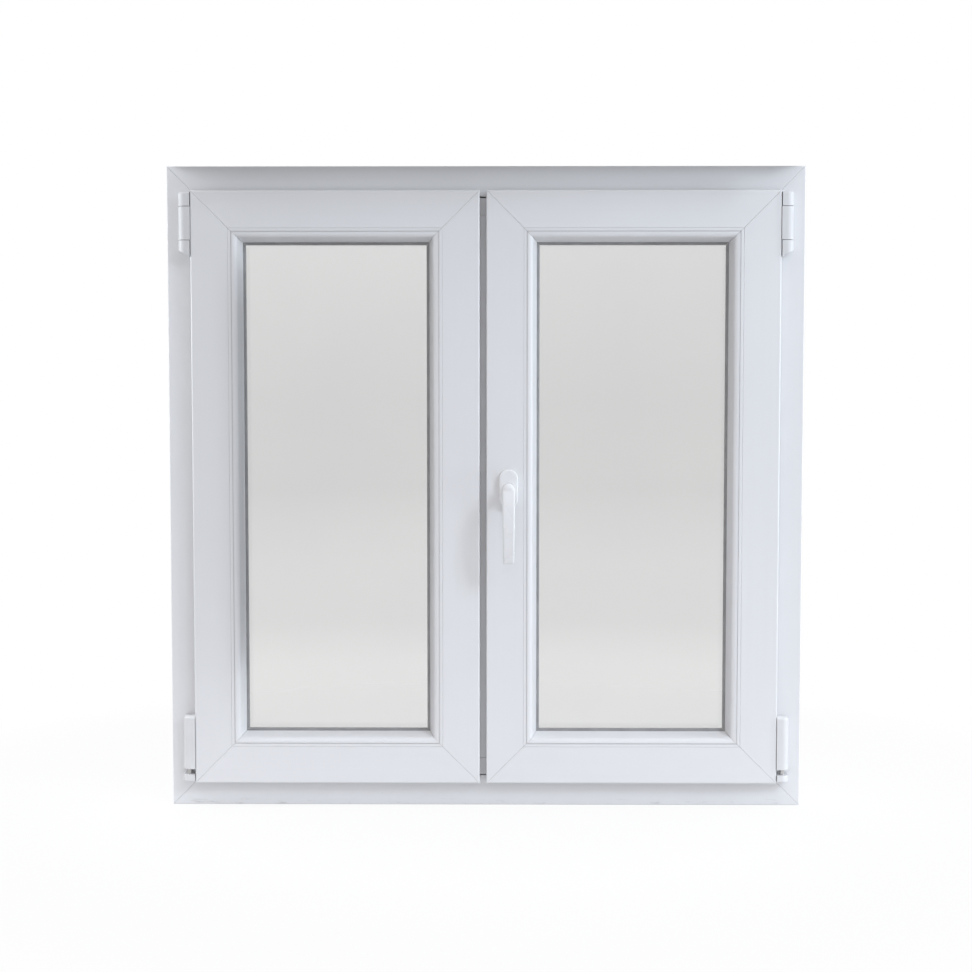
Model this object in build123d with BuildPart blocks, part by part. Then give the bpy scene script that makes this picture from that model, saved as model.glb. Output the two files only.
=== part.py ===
from build123d import *
import os

# Sizes are in millimetres. X runs to the right seen from the room, the room is at -Y, Z is up.
# The origin is the middle of the frame's bottom face.

# Outer frame
FRAME_WIDTH = 988
FRAME_HEIGHT = 1000
FRAME_DEPTH = 70
FRAME_FACE = 47
FRAME_FLANGE_REACH = 20
FRAME_FLANGE_DEPTH = 16
FRAME_FLANGE_BEVEL = 5
FRAME_EDGE_RADIUS = 0.9
ANCHOR_GROOVE_WIDTH = 7
ANCHOR_GROOVE_DEPTH = 3
ANCHOR_GROOVE_OFFSET = 19

# Leaves and how they sit on the frame
SASH_OVERLAP = 8.6
SASH_PROUD = 20
SASH_FACE = 57.8
SASH_FLANGE_WIDTH = 20.5
SASH_EDGE_RADIUS = 2.2
SASH_LEG_SETBACK = 6
SASH_LEG_BEVEL = 4
SEAL_GAP = 4.5
WEATHER_GAP = 4
LEAF_GAP = 10.4
LEAF_GAP_CENTRE = -4
WELD_GROOVE = 0.7

# Glazing beads, one on each side of each glass
BEAD_WIDTH = 20.5
BEAD_DROP = 24.7
BEAD_LIP = 4.6
BEAD_GROOVE_WIDTH = 1.2
BEAD_GROOVE_DEPTH = 1
BEAD_EDGE_RADIUS = 0.7
BEAD_SHOULDER = 7.1
BEAD_ROUND_RADIUS = 8.2
BEAD_FOOT_THICKNESS = 3
BEAD_FOOT_LENGTH = 14
BEAD_JOINT = 0.25

# Double glazing and the rubber strips around it
GLASS_CLEARANCE = 6
PANE_THICKNESS = 4
PANE_SPACE = 16
SPACER_INSET = 2.5
SPACER_WIDTH = 7
GASKET_THICKNESS = 3.3
GASKET_REACH = 4.4
GASKET_HEEL = 11
GASKET_LIP_RADIUS = 2
OUTER_GASKET_THICKNESS = 3
OUTER_GASKET_REACH = 1.5
STRIP_JOINT = 0.4

# Seals between the leaves and the frame
SEAL_INSET = 2
SEAL_WIDTH = 5

# Meeting profile carried by the left leaf, with a cap at each end
ASTRAGAL_COVER = 8
ASTRAGAL_CAP_LENGTH = 37
ASTRAGAL_NOSE_SETBACK = 2.5
CAP_JOINT = 0.4
CAP_CLEARANCE = 2

# Handle on the right leaf
HANDLE_INSET = 34.6
HANDLE_RISE = 2
ROSETTE_WIDTH = 29
ROSETTE_HEIGHT = 59.6
ROSETTE_THICKNESS = 10
ROSETTE_CORNER_RADIUS = 14
ROSETTE_EDGE_RADIUS = 2.5
NECK_RADIUS = 9
NECK_RUNNING_GAP = 0.06
NECK_SEAT_DEPTH = 6
NECK_LENGTH = 30
HUB_RADIUS = 10.2
HUB_THICKNESS = 15
HUB_EDGE_RADIUS = 6.4
GRIP_LENGTH = 112.5
GRIP_TOP_WIDTH = 19.8
GRIP_END_WIDTH = 17
GRIP_TOP_THICKNESS = 14.4
GRIP_END_THICKNESS = 11
GRIP_BOW = 8
GRIP_CORNER_RADIUS = 2.6
GRIP_END_RADIUS = 2.2
GRIP_SECTIONS = 4

# Hinges, alike on both outer sides
HINGE_WIDTH = 18.9
HINGE_REACH = 21.5
HINGE_TO_SASH = 0.7
HINGE_BACK_GAP = 1
HINGE_SIDE_RADIUS = 11
HINGE_TOP_RADIUS = 4
HINGE_END_SLOPE = 28
TOP_HINGE_DROP = 2
TOP_KNUCKLE_LENGTH = 22
SASH_KNUCKLE_LENGTH = 51
LOW_KNUCKLE_LENGTH = 25
KNUCKLE_JOINT = 0.8
COVER_LENGTH = 83
PIVOT_GAP = 9
PIVOT_BEARING_LENGTH = 10.5
PIVOT_BEARING_RISE = 2.5
PIVOT_PIN_RADIUS = 3.6
BEARING_EDGE_RADIUS = 1.5

# Depths that follow from the sizes above
ROOM_Y = -FRAME_DEPTH / 2
OUTSIDE_Y = FRAME_DEPTH / 2
FRAME_FLANGE_Y = OUTSIDE_Y - FRAME_FLANGE_DEPTH
SASH_ROOM_Y = ROOM_Y - SASH_PROUD
SASH_OUTSIDE_Y = FRAME_FLANGE_Y - WEATHER_GAP
SASH_FLANGE_Y = ROOM_Y - SEAL_GAP
BEAD_FOOT_Y = SASH_ROOM_Y + BEAD_DROP
INNER_PANE_Y = BEAD_FOOT_Y + GASKET_THICKNESS
SPACER_Y = INNER_PANE_Y + PANE_THICKNESS
OUTER_PANE_Y = SPACER_Y + PANE_SPACE
OUTER_GASKET_Y = OUTER_PANE_Y + PANE_THICKNESS
SASH_LEG_Y = OUTER_GASKET_Y + OUTER_GASKET_THICKNESS

# Distances inward from a leaf's own edge
SIGHT_LINE = SASH_FACE + BEAD_WIDTH
LEG_LINE = SIGHT_LINE - SASH_LEG_SETBACK
GLASS_EDGE = SASH_FACE + GLASS_CLEARANCE

# Outlines of the frame and of the two leaves as left, right, low and high
FRAME_BAND = FRAME_FACE - SASH_OVERLAP
SASH_LOW = FRAME_BAND
SASH_HIGH = FRAME_HEIGHT - FRAME_BAND
LEFT_LEAF_EDGE = LEAF_GAP_CENTRE - LEAF_GAP / 2
RIGHT_LEAF_EDGE = LEAF_GAP_CENTRE + LEAF_GAP / 2
FRAME_BOX = (-FRAME_WIDTH / 2, FRAME_WIDTH / 2, 0, FRAME_HEIGHT)
LEFT_BOX = (-FRAME_WIDTH / 2 + FRAME_BAND, LEFT_LEAF_EDGE, SASH_LOW, SASH_HIGH)
RIGHT_BOX = (RIGHT_LEAF_EDGE, FRAME_WIDTH / 2 - FRAME_BAND, SASH_LOW, SASH_HIGH)
SIDES = ("bottom", "top", "left", "right")
DEPTH_WAY = Vector(0, 1, 0)

os.makedirs("parts", exist_ok=True)


def keep(builder, name):
    builder.part.label = name
    export_step(builder.part, f"parts/{name}.step")


# A closed outline from corners given as distance inward, depth and rounding
def outline(corners):
    with BuildSketch() as shape:
        with BuildLine():
            Polyline(*[(inward, depth) for inward, depth, rounding in corners], close=True)
        make_face()
        for inward, depth, rounding in corners:
            if rounding:
                fillet(shape.vertices().sort_by_distance((inward, depth))[0], rounding)
    return shape.sketch


def frame_outline():
    tip = FRAME_FACE + FRAME_FLANGE_REACH
    groove = [
        (0, ANCHOR_GROOVE_OFFSET + ANCHOR_GROOVE_WIDTH / 2),
        (ANCHOR_GROOVE_DEPTH, ANCHOR_GROOVE_OFFSET + ANCHOR_GROOVE_WIDTH / 2),
        (ANCHOR_GROOVE_DEPTH, ANCHOR_GROOVE_OFFSET - ANCHOR_GROOVE_WIDTH / 2),
        (0, ANCHOR_GROOVE_OFFSET - ANCHOR_GROOVE_WIDTH / 2),
    ]
    return outline([
        (0, ROOM_Y, FRAME_EDGE_RADIUS),
        (FRAME_FACE, ROOM_Y, FRAME_EDGE_RADIUS),
        (FRAME_FACE, FRAME_FLANGE_Y, 0),
        (tip, FRAME_FLANGE_Y, 0),
        (tip, OUTSIDE_Y - FRAME_FLANGE_BEVEL, FRAME_EDGE_RADIUS),
        (tip - FRAME_FLANGE_BEVEL, OUTSIDE_Y, FRAME_EDGE_RADIUS),
        (0, OUTSIDE_Y, FRAME_EDGE_RADIUS),
        *[(inward, depth, 0) for inward, depth in groove],
        *[(inward, -depth, 0) for inward, depth in reversed(groove)],
    ])


def sash_outline():
    return outline([
        (0, SASH_ROOM_Y, SASH_EDGE_RADIUS),
        (SASH_FACE, SASH_ROOM_Y, BEAD_EDGE_RADIUS),
        (SASH_FACE, SASH_LEG_Y, 0),
        (LEG_LINE, SASH_LEG_Y, 0),
        (LEG_LINE, SASH_OUTSIDE_Y - SASH_LEG_BEVEL, FRAME_EDGE_RADIUS),
        (LEG_LINE - SASH_LEG_BEVEL * 2, SASH_OUTSIDE_Y, FRAME_EDGE_RADIUS),
        (SASH_FLANGE_WIDTH, SASH_OUTSIDE_Y, FRAME_EDGE_RADIUS),
        (SASH_FLANGE_WIDTH, SASH_FLANGE_Y, 0),
        (0, SASH_FLANGE_Y, FRAME_EDGE_RADIUS / 2),
    ])


# The bead has a flat lip, a fine groove and a rounded shoulder, and then slopes straight to the glass
def bead_outline():
    groove_start = SASH_FACE + BEAD_LIP
    groove_end = groove_start + BEAD_GROOVE_WIDTH
    groove_floor = SASH_ROOM_Y + BEAD_GROOVE_DEPTH
    foot = SASH_FACE + BEAD_FOOT_THICKNESS
    return outline([
        (SASH_FACE, SASH_ROOM_Y, BEAD_EDGE_RADIUS),
        (groove_start, SASH_ROOM_Y, 0),
        (groove_start, groove_floor, 0),
        (groove_end, groove_floor, 0),
        (groove_end, SASH_ROOM_Y, 0),
        (groove_end + BEAD_SHOULDER, SASH_ROOM_Y, BEAD_ROUND_RADIUS),
        (SIGHT_LINE, BEAD_FOOT_Y, 0),
        (foot, BEAD_FOOT_Y, 0),
        (foot, BEAD_FOOT_Y + BEAD_FOOT_LENGTH, 0),
        (SASH_FACE, BEAD_FOOT_Y + BEAD_FOOT_LENGTH, 0),
    ])


# A strip's section, with its free corner towards the room rounded or square
def strip_outline(start, end, low, high, rounding):
    return outline([(start, low, 0), (end, low, rounding), (end, high, 0), (start, high, 0)])


# Where one side of a box starts, which way is inward and how long it is
def side_of(box, side):
    left, right, low, high = box
    return {
        "bottom": (Vector(right, 0, low), Vector(0, 0, 1), right - left),
        "top": (Vector(left, 0, high), Vector(0, 0, -1), right - left),
        "left": (Vector(left, 0, low), Vector(1, 0, 0), high - low),
        "right": (Vector(right, 0, high), Vector(-1, 0, 0), high - low),
    }[side]


# A straight length of profile along one side of a box, cut at 45 degrees at both ends
def mitred_bar(profile, box, side, joint=0, weld_y=None):
    start, inward, length = side_of(box, side)
    along = inward.cross(DEPTH_WAY)
    with BuildPart() as bar:
        with BuildSketch(Plane(origin=start, x_dir=inward, z_dir=along)):
            add(profile)
        extrude(amount=length)
        for corner, way in ((start, along), (start + along * length, along * -1)):
            cut_normal = (way - inward).normalized()
            cut = Plane(origin=corner + cut_normal * (joint / 2), z_dir=cut_normal)
            split(bisect_by=cut, keep=Keep.TOP)
            if weld_y is not None:
                weld_line = (way + inward).normalized()
                weld_start = corner + DEPTH_WAY * weld_y
                with BuildSketch(Plane(origin=weld_start, x_dir=cut_normal, z_dir=weld_line)):
                    Polygon((WELD_GROOVE, 0), (0, WELD_GROOVE), (-WELD_GROOVE, 0), (0, -WELD_GROOVE))
                extrude(amount=2 * FRAME_FACE + 2 * SASH_FACE, mode=Mode.SUBTRACT)
    return bar


# Outer frame, four welded lengths
FRAME_NAMES = {
    "bottom": "frame_sill",
    "top": "frame_head",
    "left": "frame_left_jamb",
    "right": "frame_right_jamb",
}
frame_profile = frame_outline()
for side in SIDES:
    keep(mitred_bar(frame_profile, FRAME_BOX, side, weld_y=ROOM_Y), FRAME_NAMES[side])

# Leaves with their beads, glass, gaskets and seals
sash_profile = sash_outline()
bead_profile = bead_outline()
gasket_profile = strip_outline(
    SIGHT_LINE - GASKET_HEEL, SIGHT_LINE + GASKET_REACH, BEAD_FOOT_Y, INNER_PANE_Y, GASKET_LIP_RADIUS
)
outer_gasket_profile = strip_outline(
    SIGHT_LINE - GASKET_HEEL, LEG_LINE + OUTER_GASKET_REACH, OUTER_GASKET_Y, SASH_LEG_Y, 0
)
spacer_profile = strip_outline(
    GLASS_EDGE + SPACER_INSET, GLASS_EDGE + SPACER_INSET + SPACER_WIDTH, SPACER_Y, OUTER_PANE_Y, 0
)
room_seal_profile = strip_outline(SEAL_INSET, SEAL_INSET + SEAL_WIDTH, SASH_FLANGE_Y, ROOM_Y, 0)
WEATHER_SEAL_START = SASH_FLANGE_WIDTH + SEAL_INSET
weather_seal_profile = strip_outline(
    WEATHER_SEAL_START, WEATHER_SEAL_START + SEAL_WIDTH, SASH_OUTSIDE_Y, FRAME_FLANGE_Y, 0
)
LEAVES = {
    "left": (LEFT_BOX, {"bottom": "bottom", "top": "top", "left": "hinge", "right": "meeting"}),
    "right": (RIGHT_BOX, {"bottom": "bottom", "top": "top", "left": "meeting", "right": "hinge"}),
}
RAIL_WORDS = {
    "bottom": "bottom_rail",
    "top": "top_rail",
    "hinge": "hinge_stile",
    "meeting": "meeting_stile",
}
for leaf, (box, roles) in LEAVES.items():
    for side in SIDES:
        role = roles[side]
        keep(mitred_bar(sash_profile, box, side, weld_y=SASH_ROOM_Y), f"{leaf}_sash_{RAIL_WORDS[role]}")
        keep(mitred_bar(bead_profile, box, side, joint=BEAD_JOINT), f"{leaf}_bead_{role}")

    glazing_strips = [mitred_bar(gasket_profile, box, side, joint=STRIP_JOINT) for side in SIDES]
    glazing_strips += [mitred_bar(outer_gasket_profile, box, side, joint=STRIP_JOINT) for side in SIDES]
    with BuildPart() as glazing_gaskets:
        for strip in glazing_strips:
            add(strip.part)
    keep(glazing_gaskets, f"{leaf}_glazing_gaskets")

    spacer_bars = [mitred_bar(spacer_profile, box, side, joint=STRIP_JOINT) for side in SIDES]
    with BuildPart() as glass_spacer:
        for strip in spacer_bars:
            add(strip.part)
    keep(glass_spacer, f"{leaf}_glass_spacer")

    left, right, low, high = box
    with BuildPart() as panes:
        for pane_y in (INNER_PANE_Y, OUTER_PANE_Y):
            with BuildSketch(Plane.XZ.offset(-pane_y)):
                with Locations(((left + right) / 2, (low + high) / 2)):
                    Rectangle(right - left - 2 * GLASS_EDGE, high - low - 2 * GLASS_EDGE)
            extrude(amount=-PANE_THICKNESS)
    keep(panes, f"{leaf}_panes")

    sealed_sides = [side for side in SIDES if leaf == "right" or roles[side] != "meeting"]
    seal_strips = [mitred_bar(room_seal_profile, box, side, joint=STRIP_JOINT) for side in sealed_sides]
    seal_strips += [mitred_bar(weather_seal_profile, box, side, joint=STRIP_JOINT) for side in sealed_sides]
    with BuildPart() as leaf_seals:
        for strip in seal_strips:
            add(strip.part)
    keep(leaf_seals, f"{leaf}_seals")

# Meeting profile, seen in the gap between the leaves, drawn across in X and Y
ASTRAGAL_LEFT = LEFT_LEAF_EDGE - SASH_FLANGE_WIDTH
ASTRAGAL_RIGHT = RIGHT_LEAF_EDGE + SASH_OVERLAP
astragal_body = [
    (ASTRAGAL_LEFT, SASH_FLANGE_Y, 0),
    (LEFT_LEAF_EDGE - ASTRAGAL_NOSE_SETBACK, SASH_FLANGE_Y, 0),
    (LEFT_LEAF_EDGE - ASTRAGAL_NOSE_SETBACK, ROOM_Y, 0),
    (ASTRAGAL_RIGHT, ROOM_Y, FRAME_EDGE_RADIUS),
]
body_profile = outline([
    *astragal_body,
    (ASTRAGAL_RIGHT, SASH_OUTSIDE_Y, 0),
    (ASTRAGAL_LEFT, SASH_OUTSIDE_Y, 0),
])
astragal_profile = outline([
    *astragal_body,
    (ASTRAGAL_RIGHT, FRAME_FLANGE_Y, 0),
    (ASTRAGAL_RIGHT + FRAME_FLANGE_REACH, FRAME_FLANGE_Y, 0),
    (ASTRAGAL_RIGHT + FRAME_FLANGE_REACH, OUTSIDE_Y - FRAME_FLANGE_BEVEL, FRAME_EDGE_RADIUS),
    (ASTRAGAL_RIGHT + FRAME_FLANGE_REACH - FRAME_FLANGE_BEVEL, OUTSIDE_Y, FRAME_EDGE_RADIUS),
    (ASTRAGAL_LEFT - ASTRAGAL_COVER + FRAME_FLANGE_BEVEL, OUTSIDE_Y, FRAME_EDGE_RADIUS),
    (ASTRAGAL_LEFT - ASTRAGAL_COVER, OUTSIDE_Y - FRAME_FLANGE_BEVEL, FRAME_EDGE_RADIUS),
    (ASTRAGAL_LEFT - ASTRAGAL_COVER, SASH_OUTSIDE_Y, 0),
    (ASTRAGAL_LEFT, SASH_OUTSIDE_Y, 0),
])
CAP_TOP_JOINT = SASH_HIGH - ASTRAGAL_CAP_LENGTH
CAP_LOW_JOINT = SASH_LOW + ASTRAGAL_CAP_LENGTH
FLANGE_INSET = FRAME_FACE + FRAME_FLANGE_REACH + CAP_CLEARANCE
CAP_END = FRAME_FACE + CAP_CLEARANCE
with BuildPart() as astragal:
    with BuildSketch(Plane.XY.offset(CAP_LOW_JOINT)):
        add(astragal_profile)
    extrude(amount=CAP_TOP_JOINT - CAP_LOW_JOINT)
keep(astragal, "astragal")

# Each cap carries the full profile up to the frame's flange and only its body beyond
ASTRAGAL_CAPS = {
    "astragal_top_cap": (CAP_TOP_JOINT + CAP_JOINT, FRAME_HEIGHT - FLANGE_INSET, FRAME_HEIGHT - CAP_END),
    "astragal_bottom_cap": (CAP_LOW_JOINT - CAP_JOINT, FLANGE_INSET, CAP_END),
}
for name, (joint_z, flange_z, end_z) in ASTRAGAL_CAPS.items():
    with BuildPart() as astragal_cap:
        with BuildSketch(Plane.XY.offset(joint_z)):
            add(astragal_profile)
        extrude(amount=flange_z - joint_z)
        with BuildSketch(Plane.XY.offset(joint_z)):
            add(body_profile)
        extrude(amount=end_z - joint_z)
    keep(astragal_cap, name)

# Handle rosette on the right leaf's meeting stile, with a round seat for the neck
HANDLE_X = RIGHT_LEAF_EDGE + HANDLE_INSET
HANDLE_Z = FRAME_HEIGHT / 2 + HANDLE_RISE
ROSETTE_FACE_Y = SASH_ROOM_Y - ROSETTE_THICKNESS
SASH_FACE_PLANE = Plane(origin=(HANDLE_X, SASH_ROOM_Y, HANDLE_Z), x_dir=(1, 0, 0), z_dir=(0, -1, 0))
with BuildPart() as rosette:
    with BuildSketch(SASH_FACE_PLANE):
        RectangleRounded(ROSETTE_WIDTH, ROSETTE_HEIGHT, ROSETTE_CORNER_RADIUS)
    extrude(amount=ROSETTE_THICKNESS)
    fillet(rosette.faces().sort_by(Axis.Y)[0].edges(), ROSETTE_EDGE_RADIUS)
    with BuildSketch(SASH_FACE_PLANE.offset(ROSETTE_THICKNESS)):
        Circle(NECK_RADIUS + NECK_RUNNING_GAP)
    extrude(amount=-NECK_SEAT_DEPTH, mode=Mode.SUBTRACT)
keep(rosette, "handle_rosette")

# Handle grip: a round neck that turns in the rosette, a round hub and a tapering bowed bar hanging from it
NECK_END_Y = ROSETTE_FACE_Y - NECK_LENGTH
GRIP_CENTRE_Y = NECK_END_Y - HUB_THICKNESS / 2
with BuildPart() as grip:
    with BuildSketch(SASH_FACE_PLANE.offset(ROSETTE_THICKNESS + NECK_LENGTH)):
        Circle(HUB_RADIUS)
    extrude(amount=HUB_THICKNESS)
    fillet(grip.edges().filter_by(GeomType.CIRCLE), HUB_EDGE_RADIUS)
    for step in range(GRIP_SECTIONS + 1):
        share = step / GRIP_SECTIONS
        bow = GRIP_BOW * 4 * share * (1 - share)
        with BuildSketch(Plane.XY.offset(HANDLE_Z - GRIP_LENGTH * share)):
            with Locations((HANDLE_X, GRIP_CENTRE_Y - bow)):
                RectangleRounded(
                    GRIP_TOP_WIDTH + (GRIP_END_WIDTH - GRIP_TOP_WIDTH) * share,
                    GRIP_TOP_THICKNESS + (GRIP_END_THICKNESS - GRIP_TOP_THICKNESS) * share,
                    GRIP_CORNER_RADIUS,
                )
    loft()
    fillet(grip.faces().sort_by(Axis.Z)[0].edges(), GRIP_END_RADIUS)
    with BuildSketch(SASH_FACE_PLANE.offset(ROSETTE_THICKNESS - NECK_SEAT_DEPTH + NECK_RUNNING_GAP)):
        Circle(NECK_RADIUS)
    extrude(amount=NECK_SEAT_DEPTH - NECK_RUNNING_GAP + NECK_LENGTH + HUB_THICKNESS / 2)
keep(grip, "handle_grip")


# A hinge piece seen from above: flat towards the leaf, with a large round on its outer front corner
def hinge_outline(inner_x, outer_x, back_y):
    front_y = ROOM_Y - HINGE_REACH
    return outline([
        (inner_x, back_y, 0),
        (outer_x, back_y, 0),
        (outer_x, front_y, HINGE_SIDE_RADIUS),
        (inner_x, front_y, 0),
    ])


# The front and outer edges of a hinge piece's end face
def hinge_rim(face, outward):
    past_leaf_side = face.edges().sort_by(lambda edge: outward * edge.center().X)[1:]
    return past_leaf_side.sort_by(Axis.Y)[:-1]


# Hinge heights are the same on both sides
TOP_KNUCKLE_HIGH = SASH_HIGH - TOP_HINGE_DROP
TOP_KNUCKLE_LOW = TOP_KNUCKLE_HIGH - TOP_KNUCKLE_LENGTH
SASH_KNUCKLE_HIGH = TOP_KNUCKLE_LOW - KNUCKLE_JOINT
SASH_KNUCKLE_LOW = SASH_KNUCKLE_HIGH - SASH_KNUCKLE_LENGTH
LOW_KNUCKLE_HIGH = SASH_KNUCKLE_LOW - KNUCKLE_JOINT
BEARING_LOW = SASH_LOW + PIVOT_BEARING_RISE
BEARING_HIGH = BEARING_LOW + PIVOT_BEARING_LENGTH
COVER_LOW = BEARING_HIGH + PIVOT_GAP
PIVOT_Y = ROOM_Y - HINGE_REACH / 2
HINGE_SIDES = {"left": (LEFT_BOX[0], -1), "right": (RIGHT_BOX[1], 1)}
for leaf, (sash_edge, outward) in HINGE_SIDES.items():
    outer_x = sash_edge + outward * HINGE_WIDTH
    frame_side_x = sash_edge + outward * HINGE_TO_SASH
    hinge_x = (outer_x + frame_side_x) / 2
    frame_piece = hinge_outline(frame_side_x, outer_x, ROOM_Y)
    leaf_piece = hinge_outline(sash_edge, outer_x, ROOM_Y - HINGE_BACK_GAP)

    with BuildPart() as bearing_knuckles:
        with BuildSketch(Plane.XY.offset(LOW_KNUCKLE_HIGH)):
            add(frame_piece)
        extrude(amount=-LOW_KNUCKLE_LENGTH)
        low_corner = (frame_side_x, ROOM_Y, LOW_KNUCKLE_HIGH - LOW_KNUCKLE_LENGTH)
        slope = Plane(origin=low_corner).rotated((0, -outward * HINGE_END_SLOPE, 0))
        split(bisect_by=slope, keep=Keep.TOP)
        with BuildSketch(Plane.XY.offset(TOP_KNUCKLE_LOW)):
            add(frame_piece)
        extrude(amount=TOP_KNUCKLE_LENGTH)
        fillet(hinge_rim(bearing_knuckles.faces().sort_by(Axis.Z)[-1], outward), HINGE_TOP_RADIUS)
    keep(bearing_knuckles, f"{leaf}_top_hinge_bearing")

    with BuildPart() as sash_knuckle:
        with BuildSketch(Plane.XY.offset(SASH_KNUCKLE_LOW)):
            add(leaf_piece)
        extrude(amount=SASH_KNUCKLE_LENGTH)
    keep(sash_knuckle, f"{leaf}_top_hinge_knuckle")

    with BuildPart() as hinge_cover:
        with BuildSketch(Plane.XY.offset(COVER_LOW)):
            add(leaf_piece)
        extrude(amount=COVER_LENGTH)
        fillet(hinge_rim(hinge_cover.faces().sort_by(Axis.Z)[-1], outward), HINGE_TOP_RADIUS)
    keep(hinge_cover, f"{leaf}_bottom_hinge_cover")

    with BuildPart() as pivot_bearing:
        with BuildSketch(Plane.XY.offset(BEARING_LOW)):
            add(frame_piece)
        extrude(amount=PIVOT_BEARING_LENGTH)
        fillet(hinge_rim(pivot_bearing.faces().sort_by(Axis.Z)[0], outward), BEARING_EDGE_RADIUS)
    keep(pivot_bearing, f"{leaf}_pivot_bearing")

    with BuildPart() as pivot_pin:
        with BuildSketch(Plane.XY.offset(BEARING_HIGH)):
            with Locations((hinge_x, PIVOT_Y)):
                Circle(PIVOT_PIN_RADIUS)
        extrude(amount=PIVOT_GAP)
    keep(pivot_pin, f"{leaf}_pivot_pin")
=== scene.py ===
"""Looks of a white PVC window with two leaves: surfaces, light, floor and camera."""

import math

import bpy
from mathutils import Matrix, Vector


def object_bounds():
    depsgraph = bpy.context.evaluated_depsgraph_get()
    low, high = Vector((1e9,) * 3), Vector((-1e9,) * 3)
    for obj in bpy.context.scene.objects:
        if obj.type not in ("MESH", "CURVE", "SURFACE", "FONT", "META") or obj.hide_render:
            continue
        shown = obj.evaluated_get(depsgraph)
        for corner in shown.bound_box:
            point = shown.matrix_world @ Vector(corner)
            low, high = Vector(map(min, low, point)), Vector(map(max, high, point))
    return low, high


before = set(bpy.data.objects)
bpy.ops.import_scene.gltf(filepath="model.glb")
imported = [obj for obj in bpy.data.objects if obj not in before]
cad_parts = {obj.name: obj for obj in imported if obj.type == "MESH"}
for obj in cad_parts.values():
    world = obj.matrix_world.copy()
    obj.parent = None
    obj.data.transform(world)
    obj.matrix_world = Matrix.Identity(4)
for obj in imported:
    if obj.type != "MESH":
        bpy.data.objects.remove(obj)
cad_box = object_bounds()

# Colours, linear
PVC_WHITE = (0.806, 0.807, 0.814, 1)
PVC_SHADE = (0.782, 0.782, 0.788, 1)
BEAD_WHITE = (0.806, 0.806, 0.814, 1)
BEAD_SHADE = (0.778, 0.777, 0.783, 1)
# Grime and painted shade, laid into grooves and joints where ambient occlusion finds them
GRIME_AND_SHADE = (0.30, 0.29, 0.28, 1)
DUST = (0.56, 0.54, 0.50, 1)
SCUFF = (0.34, 0.33, 0.33, 1)
PAINT_WHITE = (0.848, 0.848, 0.852, 1)
PAINT_SHADE = (0.820, 0.820, 0.824, 1)
HINGE_WHITE = (0.750, 0.750, 0.756, 1)
HINGE_SHADE = (0.712, 0.710, 0.710, 1)
# A darker copy of the hinge plastic for the top hinges: painted shade
KNUCKLE_WHITE = (0.700, 0.700, 0.706, 1)
KNUCKLE_SHADE = (0.660, 0.658, 0.660, 1)
RUBBER_GREY = (0.270, 0.270, 0.274, 1)
RUBBER_PALE = (0.340, 0.340, 0.342, 1)
SEAL_GREY = (0.045, 0.045, 0.047, 1)
SEAL_PALE = (0.085, 0.085, 0.086, 1)
GLASS_CLEAR = (0.872, 0.872, 0.869, 1)
GLASS_HAZE = (0.860, 0.861, 0.860, 1)
STEEL_BRIGHT = (0.62, 0.62, 0.63, 1)
STEEL_DULL = (0.42, 0.41, 0.40, 1)
ALUMINIUM_BRIGHT = (0.66, 0.66, 0.67, 1)
ALUMINIUM_DULL = (0.52, 0.52, 0.52, 1)
WHITE = (1, 1, 1, 1)
FLOOR_WHITE = (0.83, 0.83, 0.83, 1)
FLOOR_PALE = (0.41, 0.41, 0.41, 1)
FLAG_DARK = (0.05, 0.05, 0.05, 1)
HORIZON_LIGHT = (1.0, 0.985, 0.985, 1)
ZENITH_LIGHT = (0.985, 0.97, 1.0, 1)
COOL_LAMP = (0.76, 0.87, 1.0)
PALE_LAMP = (0.86, 0.93, 1.0)
PLAIN_LAMP = (1.0, 0.985, 0.985)

# Streaks left by drawing run along the piece: few per metre that way, many across
ALONG_FEW = 3.0
ACROSS_MANY = 260.0
STREAK_SCALE = {
    "x": (ALONG_FEW, ACROSS_MANY, ACROSS_MANY),
    "z": (ACROSS_MANY, ACROSS_MANY, ALONG_FEW),
}

# The run of a noise that tones a surface, and the run that roughens it
TONE_RUN = (0.35, 0.65)
ROUGH_RUN = (0.3, 0.7)

# PVC: noise cells per metre, shares of the tones, and depths in metres
PVC_CLOUDS = 4.0
PVC_GRAIN = 700.0
PVC_SPECKS = 60.0
PVC_ROUGH = (0.30, 0.40)
CLOUD_SHARE = 0.7
STREAK_RUN = (0.45, 0.75)
STREAK_SHARE = 0.3
SPECK_RUN = (0.40, 0.65)
SPECK_SHARES = (0.2, 1.0)
LEDGE_RUN = (0.6, 0.95)
LEDGE_DUST = 0.25
BEAD_DUST = 0.04
# Grime and painted shade in grooves: the occlusion reach in metres, its run and its share
GROOVE_REACH = 0.0015
GROOVE_RUN = (0.30, 0.85)
GROOVE_GRIME_AND_SHADE = 0.45
BUMP_DEPTH = 0.0002
STREAK_BUMP = 0.015
GRAIN_BUMP = 0.04

# Scuffs low on the sill, in metres above its bottom
SCUFF_STRETCH = (30.0, 60.0, 140.0)
SCUFF_HEIGHTS = (0.003, 0.011)
SCUFF_RUN = (0.58, 0.70)
SCUFF_SHARE = 0.4

# Paint and moulded plastic
PAINT_CLOUDS = 30.0
PAINT_PEEL = 900.0
PAINT_SHARE = 0.8
# Grime and painted shade at joints: the occlusion reach in metres, its run and its share
JOINT_REACH = 0.003
JOINT_RUN = (0.25, 0.75)
JOINT_GRIME_AND_SHADE = 0.3
PEEL_BUMP = 0.06
HANDLE_ROUGH = (0.22, 0.30)
HINGE_ROUGH = (0.34, 0.44)

# Rubber
BLOOM_CELLS = 45.0
BLOOM_RUN = (0.35, 0.70)
RUBBER_GRAIN = 1500.0
RUBBER_ROUGH = (0.50, 0.68)
RUBBER_BUMP = 0.15

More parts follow.
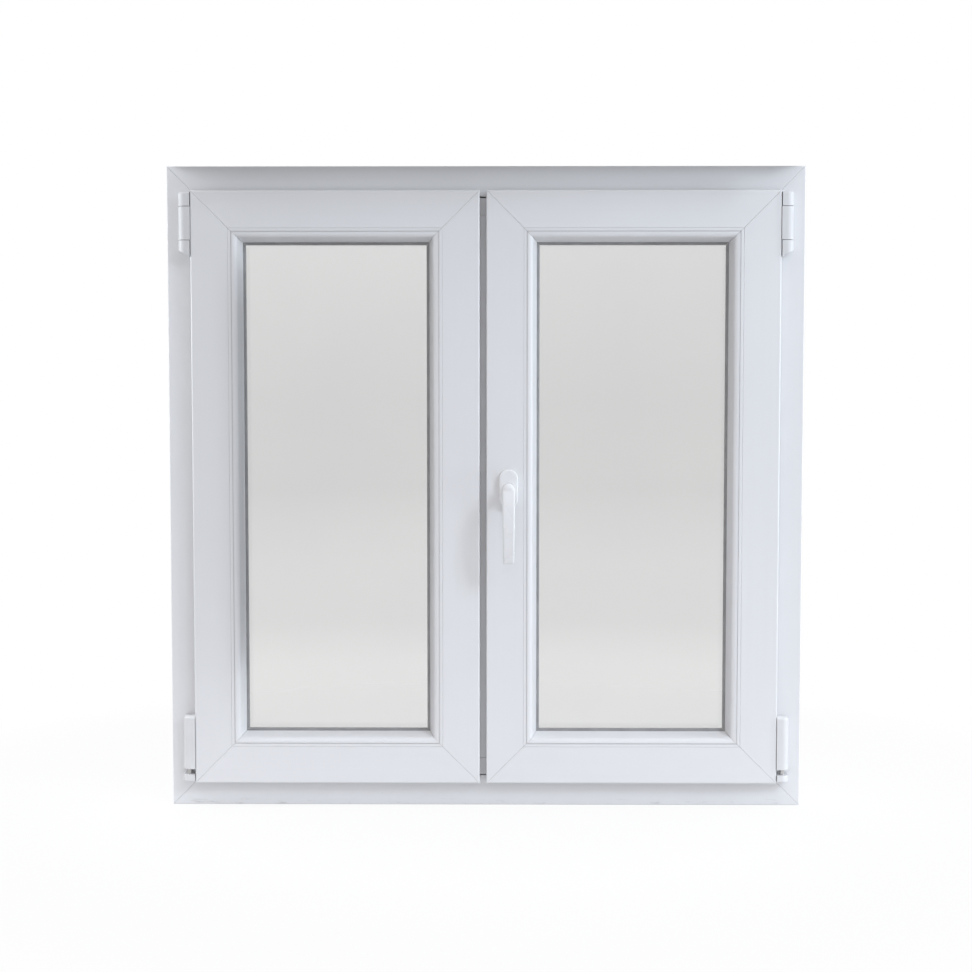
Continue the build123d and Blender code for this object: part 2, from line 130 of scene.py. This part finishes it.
# Bare metal
PATCH_CELLS = 80.0
PATCH_RUN = (0.40, 0.70)
SCRATCH_STRETCH = (900.0, 900.0, 40.0)
SCRATCH_DEPTH = 0.0001
SCRATCH_BUMP = 0.2
SPACER_ROUGH = (0.32, 0.45)
PIN_ROUGH = (0.22, 0.40)

# Glass
GLASS_IOR = 1.5
FILM_CELLS = 3.0
WAVE_CELLS = 9.0
GLASS_ROUGH = (0.0, 0.03)
WAVE_DEPTH = 0.0005
WAVE_BUMP = 0.02

# The floor, in metres from the window: it keeps a shadow inside the ring, and greys a little at each band
FLOOR_HALF = 8.0
FLOOR_RING = (0.5, 1.1)
FLOOR_SHOWN = (0.86, 1.0)
FLOOR_BANDS = [(1.4, 2.1), (3.6, 7.5)]
FLOOR_GREYING = (1.0, 0.92)

# The sky, by the upward share of the direction
SKY_RISE = (0.0, 1.0)
SKY_STRENGTH = (0.04, 1.42)
SKY_TONE_RISE = (0.0, 0.7)
HORIZON_RISE = (-0.02, 0.07)
HORIZON_SHOWN = (0.85, 0.93)

# Strips of net over the head, as name and the corners of the front and back edges in metres
NET_STRIPS = [
    ("head_net", (-0.42, 0.46, -0.062), (-0.488, 0.488, -0.036)),
    ("leaf_net", (-0.39, 0.44, -0.130), (-0.41, 0.45, -0.095)),
]
NET_RISE = 0.003
NET_SHARE = 0.78

# A thin card before the left pane: its place, depth, and the fade and slant of its ends
CARD_X = -0.33
CARD_FRONT = -0.11
CARD_BACK = -0.04
CARD_RISE = 0.04
CARD_SHARE = 0.72
CARD_FADE = 0.26
CARD_END = 0.38
CARD_SLANT = 0.085

# The far key lamp, in degrees
KEY_DOWN = 34
KEY_RIGHT = 40
KEY_SPREAD = 14
KEY_STRENGTH = 0.40

# Soft lamps, as name, place, aim, width, height, power and colour
LAMPS = [
    ("right_lamp", (1.55, -1.42, 1.60), (0.1, -0.05, 0.5), 0.35, 0.6, 12.0, COOL_LAMP),
    ("front_lamp", (0.10, -3.20, 1.60), (0.0, -0.05, 0.5), 0.8, 0.8, 3.4, PLAIN_LAMP),
    ("edge_lamp", (2.60, -0.40, 0.60), (0.2, -0.05, 0.5), 0.1, 1.0, 20.0, PALE_LAMP),
    ("left_lamp", (-3.20, -1.30, 0.60), (0.0, -0.05, 0.5), 0.4, 1.0, 7.5, PLAIN_LAMP),
    ("left_strip", (-1.10, -0.075, 0.80), (-0.48, -0.05, 0.78), 0.05, 0.5, 2.9, PALE_LAMP),
    ("back_fill", (-0.9, 2.4, 1.8), (0.0, 0.0, 0.5), 1.4, 1.4, 16.0, COOL_LAMP),
]
NOT_IN_GLOSS = ["front_lamp"]

# Camera, in metres, degrees and millimetres
CAMERA_PLACE = (0.0262, -2.9334, 0.6938)
CAMERA_DOWN = 3.738
CAMERA_LEFT = 0.508
CAMERA_LENS = 68.83
CAMERA_SENSOR = 36.0


def add(tree, kind, inputs=None, **settings):
    """A node with its settings, and each input set or linked."""
    made = tree.nodes.new(kind)
    for key, value in settings.items():
        setattr(made, key, value)
    for key, value in (inputs or {}).items():
        if isinstance(value, bpy.types.NodeSocket):
            tree.links.new(value, made.inputs[key])
        else:
            made.inputs[key].default_value = value
    return made


def surface(name):
    """A new material, with its tree and its shader."""
    material = bpy.data.materials.new(name)
    material.use_nodes = True
    tree = material.node_tree
    tree.nodes.clear()
    shader = add(tree, "ShaderNodeBsdfPrincipled")
    add(tree, "ShaderNodeOutputMaterial", {"Surface": shader.outputs["BSDF"]})
    return material, tree, shader


def place_of(tree):
    return add(tree, "ShaderNodeTexCoord").outputs["Object"]


def height_of(tree, place):
    return add(tree, "ShaderNodeSeparateXYZ", {"Vector": place}).outputs["Z"]


def stretched(tree, place, scale):
    return add(tree, "ShaderNodeMapping", {"Vector": place, "Scale": scale}).outputs["Vector"]


def noise(tree, place, scale, detail=2.0):
    inputs = {"Vector": place, "Scale": scale, "Detail": detail}
    return add(tree, "ShaderNodeTexNoise", inputs).outputs["Fac"]


def span(tree, value, run, result):
    """The value's run, from its low to its high end, carried over to another run."""
    low, high = run
    to_low, to_high = result
    inputs = {"Value": value, "From Min": low, "From Max": high, "To Min": to_low, "To Max": to_high}
    return add(tree, "ShaderNodeMapRange", inputs).outputs["Result"]


def sums(tree, operation, *values):
    """The result of one arithmetic step."""
    return add(tree, "ShaderNodeMath", dict(enumerate(values)), operation=operation).outputs[0]


def blend(tree, share, first, second):
    """The first colour, with a share of the second."""
    return add(tree, "ShaderNodeMix", {0: share, 6: first, 7: second}, data_type="RGBA").outputs[2]


def hollow(tree, reach):
    """1 on open faces, falling to 0 in corners and grooves."""
    return add(tree, "ShaderNodeAmbientOcclusion", {"Distance": reach}, samples=8).outputs["AO"]


def facing_up(tree):
    return height_of(tree, add(tree, "ShaderNodeNewGeometry").outputs["Normal"])


def finish_surface(tree, shader, colour, rough, heights):
    """Links colour and roughness, and stacks the bumps given as (height, depth, strength)."""
    tree.links.new(colour, shader.inputs["Base Color"])
    tree.links.new(rough, shader.inputs["Roughness"])
    normal = None
    for height, depth, strength in heights:
        inputs = {"Height": height, "Distance": depth, "Strength": strength}
        if normal:
            inputs["Normal"] = normal
        normal = add(tree, "ShaderNodeBump", inputs).outputs["Normal"]
    tree.links.new(normal, shader.inputs["Normal"])


def scuffs(tree, place, colour):
    """The colour, rubbed in short marks low on the sill."""
    rub = noise(tree, stretched(tree, place, SCUFF_STRETCH), 1.0, detail=4.0)
    low = span(tree, height_of(tree, place), SCUFF_HEIGHTS, (SCUFF_SHARE, 0.0))
    return blend(tree, sums(tree, "MULTIPLY", low, span(tree, rub, SCUFF_RUN, (0.0, 1.0))), colour, SCUFF)


def pvc(name, white, shade, along, dust, scuffed=False):
    """Drawn PVC: faint streaks along the piece, clouded tone, grime and painted shade in grooves, dust on
    ledges.
    """
    material, tree, shader = surface(name)
    place = place_of(tree)
    cloud = noise(tree, place, PVC_CLOUDS, detail=4.0)
    streak = noise(tree, stretched(tree, place, STREAK_SCALE[along]), 1.0)
    grain = noise(tree, place, PVC_GRAIN)
    speck = noise(tree, place, PVC_SPECKS, detail=5.0)
    colour = blend(tree, span(tree, cloud, TONE_RUN, (0.0, CLOUD_SHARE)), white, shade)
    colour = blend(tree, span(tree, streak, STREAK_RUN, (0.0, STREAK_SHARE)), colour, shade)
    ledge = span(tree, facing_up(tree), LEDGE_RUN, (0.0, dust))
    ledge = sums(tree, "MULTIPLY", ledge, span(tree, speck, SPECK_RUN, SPECK_SHARES))
    colour = blend(tree, ledge, colour, DUST)
    # Grime and painted shade: darker where the ambient occlusion finds a groove or corner
    groove = span(tree, hollow(tree, GROOVE_REACH), GROOVE_RUN, (GROOVE_GRIME_AND_SHADE, 0.0))
    colour = blend(tree, groove, colour, GRIME_AND_SHADE)
    if scuffed:
        colour = scuffs(tree, place, colour)
    rough = span(tree, cloud, ROUGH_RUN, PVC_ROUGH)
    bumps = [(streak, BUMP_DEPTH, STREAK_BUMP), (grain, BUMP_DEPTH, GRAIN_BUMP)]
    finish_surface(tree, shader, colour, rough, bumps)
    return material


def paint(name, white, shade, roughness):
    """Satin paint or smooth moulding, with a fine orange peel and grime and painted shade at the joints.
    """
    material, tree, shader = surface(name)
    place = place_of(tree)
    cloud = noise(tree, place, PAINT_CLOUDS, detail=3.0)
    peel = noise(tree, place, PAINT_PEEL)
    colour = blend(tree, span(tree, cloud, TONE_RUN, (0.0, PAINT_SHARE)), white, shade)
    # Grime and painted shade: darker where the ambient occlusion finds a joint
    joint = span(tree, hollow(tree, JOINT_REACH), JOINT_RUN, (JOINT_GRIME_AND_SHADE, 0.0))
    colour = blend(tree, joint, colour, GRIME_AND_SHADE)
    rough = span(tree, cloud, ROUGH_RUN, roughness)
    finish_surface(tree, shader, colour, rough, [(peel, BUMP_DEPTH, PEEL_BUMP)])
    return material


def rubber(name, grey, pale):
    """Extruded rubber with a dusty bloom."""
    material, tree, shader = surface(name)
    place = place_of(tree)
    bloom = noise(tree, place, BLOOM_CELLS, detail=5.0)
    grain = noise(tree, place, RUBBER_GRAIN)
    colour = blend(tree, span(tree, bloom, BLOOM_RUN, (0.0, 1.0)), grey, pale)
    rough = span(tree, bloom, ROUGH_RUN, RUBBER_ROUGH)
    finish_surface(tree, shader, colour, rough, [(grain, BUMP_DEPTH, RUBBER_BUMP)])
    return material


def metal(name, bright, dull, roughness):
    """Bare metal, duller in patches and finely scratched."""
    material, tree, shader = surface(name)
    shader.inputs["Metallic"].default_value = 1.0
    place = place_of(tree)
    patch = noise(tree, place, PATCH_CELLS, detail=4.0)
    scratch = noise(tree, stretched(tree, place, SCRATCH_STRETCH), 1.0)
    colour = blend(tree, span(tree, patch, PATCH_RUN, (0.0, 1.0)), bright, dull)
    rough = span(tree, patch, ROUGH_RUN, roughness)
    finish_surface(tree, shader, colour, rough, [(scratch, SCRATCH_DEPTH, SCRATCH_BUMP)])
    return material


def glass(name):
    """Clear float glass with a faint grey tone and a film of dust."""
    material, tree, shader = surface(name)
    shader.inputs["Transmission Weight"].default_value = 1.0
    shader.inputs["IOR"].default_value = GLASS_IOR
    place = place_of(tree)
    film = noise(tree, place, FILM_CELLS, detail=4.0)
    wave = noise(tree, place, WAVE_CELLS, detail=1.0)
    colour = blend(tree, span(tree, film, TONE_RUN, (0.0, 1.0)), GLASS_CLEAR, GLASS_HAZE)
    rough = span(tree, film, ROUGH_RUN, GLASS_ROUGH)
    finish_surface(tree, shader, colour, rough, [(wave, WAVE_DEPTH, WAVE_BUMP)])
    return material


def paint_nodes():
    """Gives every CAD node the material of the first rule that its name fits."""
    made = {
        "frame_x": pvc("frame_pvc_across", PVC_WHITE, PVC_SHADE, "x", LEDGE_DUST),
        "frame_z": pvc("frame_pvc_upright", PVC_WHITE, PVC_SHADE, "z", LEDGE_DUST),
        "frame_sill": pvc("frame_pvc_sill", PVC_WHITE, PVC_SHADE, "x", LEDGE_DUST, scuffed=True),
        "sash_x": pvc("sash_pvc_across", PVC_WHITE, PVC_SHADE, "x", LEDGE_DUST),
        "sash_z": pvc("sash_pvc_upright", PVC_WHITE, PVC_SHADE, "z", LEDGE_DUST),
        "bead_x": pvc("bead_pvc_across", BEAD_WHITE, BEAD_SHADE, "x", BEAD_DUST),
        "bead_z": pvc("bead_pvc_upright", BEAD_WHITE, BEAD_SHADE, "z", BEAD_DUST),
        "astragal": pvc("astragal_pvc", BEAD_WHITE, BEAD_SHADE, "z", BEAD_DUST),
        "glass": glass("pane_glass"),
        "gasket": rubber("glazing_rubber", RUBBER_GREY, RUBBER_PALE),
        "seal": rubber("seal_rubber", SEAL_GREY, SEAL_PALE),
        "spacer": metal("spacer_metal", ALUMINIUM_BRIGHT, ALUMINIUM_DULL, SPACER_ROUGH),
        "handle": paint("handle_paint", PAINT_WHITE, PAINT_SHADE, HANDLE_ROUGH),
        "hinge": paint("hinge_plastic", HINGE_WHITE, HINGE_SHADE, HINGE_ROUGH),
        # darker copy of the hinge plastic: painted shade on the top hinges
        "knuckle": paint("hinge_plastic_upper_shaded", KNUCKLE_WHITE, KNUCKLE_SHADE, HINGE_ROUGH),
        "pin": metal("pin_steel", STEEL_BRIGHT, STEEL_DULL, PIN_ROUGH),
    }
    rules = [
        ("frame_sill", "frame_sill"), ("frame_head", "frame_x"), ("jamb", "frame_z"),
        ("sash_top", "sash_x"), ("sash_bottom", "sash_x"), ("stile", "sash_z"),
        ("bead_top", "bead_x"), ("bead_bottom", "bead_x"), ("bead_", "bead_z"),
        ("astragal", "astragal"), ("panes", "glass"), ("gaskets", "gasket"), ("seals", "seal"),
        ("spacer", "spacer"), ("handle", "handle"), ("pivot_pin", "pin"), ("top_hinge", "knuckle"),
        ("hinge", "hinge"), ("bearing", "hinge"),
    ]
    for name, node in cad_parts.items():
        key = next(look for words, look in rules if words in name)
        node.data.materials.clear()
        node.data.materials.append(made[key])


def sheet(name, corners, material):
    """A flat four-cornered sheet of the stage."""
    mesh = bpy.data.meshes.new(name)
    mesh.from_pydata(corners, [], [(0, 1, 2, 3)])
    mesh.materials.append(material)
    made = bpy.data.objects.new(name, mesh)
    bpy.context.scene.collection.objects.link(made)
    return made


def seen_light(tree, camera_strength, other_strength):
    """The strength that camera rays see, or else gloss and glass, and 1 where a ray is one of these."""
    path = add(tree, "ShaderNodeLightPath").outputs
    camera = path["Is Camera Ray"]
    shown = sums(tree, "MAXIMUM", path["Is Glossy Ray"], path["Is Transmission Ray"])
    share = sums(tree, "MAXIMUM", camera, shown)
    strength = add(tree, "ShaderNodeMix", {0: camera, 2: other_strength, 3: camera_strength}).outputs[0]
    return strength, share


def make_floor():
    """A pale floor that shows white, keeps a faint shadow and greys a little far behind the glass."""
    material = bpy.data.materials.new("floor_pale")
    material.use_nodes = True
    tree = material.node_tree
    tree.nodes.clear()
    away = add(tree, "ShaderNodeVectorMath", {0: place_of(tree)}, operation="LENGTH").outputs["Value"]
    greys = [span(tree, away, band, FLOOR_GREYING) for band in FLOOR_BANDS]
    strength, share = seen_light(tree, 1.0, sums(tree, "MULTIPLY", *greys))
    share = sums(tree, "MULTIPLY", share, span(tree, away, FLOOR_RING, FLOOR_SHOWN))
    tone = blend(tree, span(tree, away, FLOOR_RING, (0.0, 1.0)), FLOOR_WHITE, FLOOR_PALE)
    matt = add(tree, "ShaderNodeBsdfDiffuse", {"Color": tone})
    white = add(tree, "ShaderNodeEmission", {"Color": WHITE, "Strength": strength})
    both = add(tree, "ShaderNodeMixShader", {0: share, 1: matt.outputs[0], 2: white.outputs[0]})
    add(tree, "ShaderNodeOutputMaterial", {"Surface": both.outputs[0]})
    ends = [(-1, -1), (1, -1), (1, 1), (-1, 1)]
    sheet("floor", [(x * FLOOR_HALF, y * FLOOR_HALF, 0) for x, y in ends], material)


def make_world():
    """A soft sky, strong overhead and weak at the horizon, that shows as a white background."""
    world = bpy.data.worlds.new("studio")
    world.use_nodes = True
    tree = world.node_tree
    tree.nodes.clear()
    rise = height_of(tree, add(tree, "ShaderNodeTexCoord").outputs["Generated"])
    strength, share = seen_light(tree, 1.0, span(tree, rise, HORIZON_RISE, HORIZON_SHOWN))
    tone = blend(tree, span(tree, rise, SKY_TONE_RISE, (0.0, 1.0)), HORIZON_LIGHT, ZENITH_LIGHT)
    sky = {"Color": tone, "Strength": span(tree, rise, SKY_RISE, SKY_STRENGTH)}
    soft = add(tree, "ShaderNodeBackground", sky)
    white = add(tree, "ShaderNodeBackground", {"Color": WHITE, "Strength": strength})
    both = add(tree, "ShaderNodeMixShader", {0: share, 1: soft.outputs[0], 2: white.outputs[0]})
    add(tree, "ShaderNodeOutputWorld", {"Surface": both.outputs[0]})
    bpy.context.scene.world = world


def flag_surface(name):
    """A dull dark cloth, with its tree and its shader."""
    material, tree, shader = surface(name)
    shader.inputs["Base Color"].default_value = FLAG_DARK
    shader.inputs["Roughness"].default_value = 1.0
    return material, tree, shader


def make_nets():
    """Half open strips of net over the head, shorter in front so that the corners stay bright."""
    net, _, shader = flag_surface("flag_net")
    shader.inputs["Alpha"].default_value = NET_SHARE
    top = cad_box[1].z + NET_RISE
    made = []
    for name, (front_left, front_right, front), (back_left, back_right, back) in NET_STRIPS:
        corners = [(front_left, front), (front_right, front), (back_right, back), (back_left, back)]
        made.append(sheet(name, [(x, y, top) for x, y in corners], net))
    return made


def make_card():
    """A thin upright card before the left pane, that fades towards its ends."""
    thin, tree, shader = flag_surface("flag_thin")
    middle = (cad_box[0].z + cad_box[1].z) / 2 + CARD_RISE
    off = sums(tree, "SUBTRACT", height_of(tree, place_of(tree)), middle)
    fade = span(tree, sums(tree, "ABSOLUTE", off), (CARD_FADE, CARD_END), (CARD_SHARE, 0.0))
    tree.links.new(fade, shader.inputs["Alpha"])
    low = middle - CARD_END
    high = middle + CARD_END
    front = [(CARD_FRONT, low), (CARD_FRONT, high)]
    back = [(CARD_BACK, high - CARD_SLANT), (CARD_BACK, low + CARD_SLANT)]
    return sheet("bead_flag", [(CARD_X, y, z) for y, z in front + back], thin)


def make_flags():
    """Nets and card shade the window, and nothing shows them."""
    for flag in make_nets() + [make_card()]:
        flag.visible_camera = False
        flag.visible_glossy = False
        flag.visible_transmission = False


def lamp(name, place, aim, wide, high, power, colour):
    """A soft lamp that points at a spot."""
    light = bpy.data.lights.new(name, "AREA")
    light.shape = "RECTANGLE"
    light.size = wide
    light.size_y = high
    light.energy = power
    light.color = colour
    made = bpy.data.objects.new(name, light)
    made.location = place
    made.rotation_euler = (Vector(aim) - Vector(place)).to_track_quat("-Z", "Y").to_euler()
    made.visible_transmission = False
    made.visible_glossy = name not in NOT_IN_GLOSS
    bpy.context.scene.collection.objects.link(made)


def make_key():
    """A far soft lamp above and in front, turned down and brought round to the right."""
    light = bpy.data.lights.new("key", "SUN")
    light.angle = math.radians(KEY_SPREAD)
    light.energy = KEY_STRENGTH
    light.color = COOL_LAMP
    made = bpy.data.objects.new("key", light)
    made.rotation_euler = (math.radians(90 - KEY_DOWN), 0, math.radians(KEY_RIGHT))
    bpy.context.scene.collection.objects.link(made)


def make_camera():
    """A camera in front, a little above the middle."""
    data = bpy.data.cameras.new("camera")
    data.lens = CAMERA_LENS
    data.sensor_width = CAMERA_SENSOR
    made = bpy.data.objects.new("camera", data)
    made.location = CAMERA_PLACE
    made.rotation_euler = (math.radians(90 - CAMERA_DOWN), 0, math.radians(CAMERA_LEFT))
    bpy.context.scene.collection.objects.link(made)
    bpy.context.scene.camera = made


paint_nodes()
make_floor()
make_flags()
make_world()
make_key()
for soft_lamp in LAMPS:
    lamp(*soft_lamp)
make_camera()
bpy.context.scene.view_settings.view_transform = "Standard"
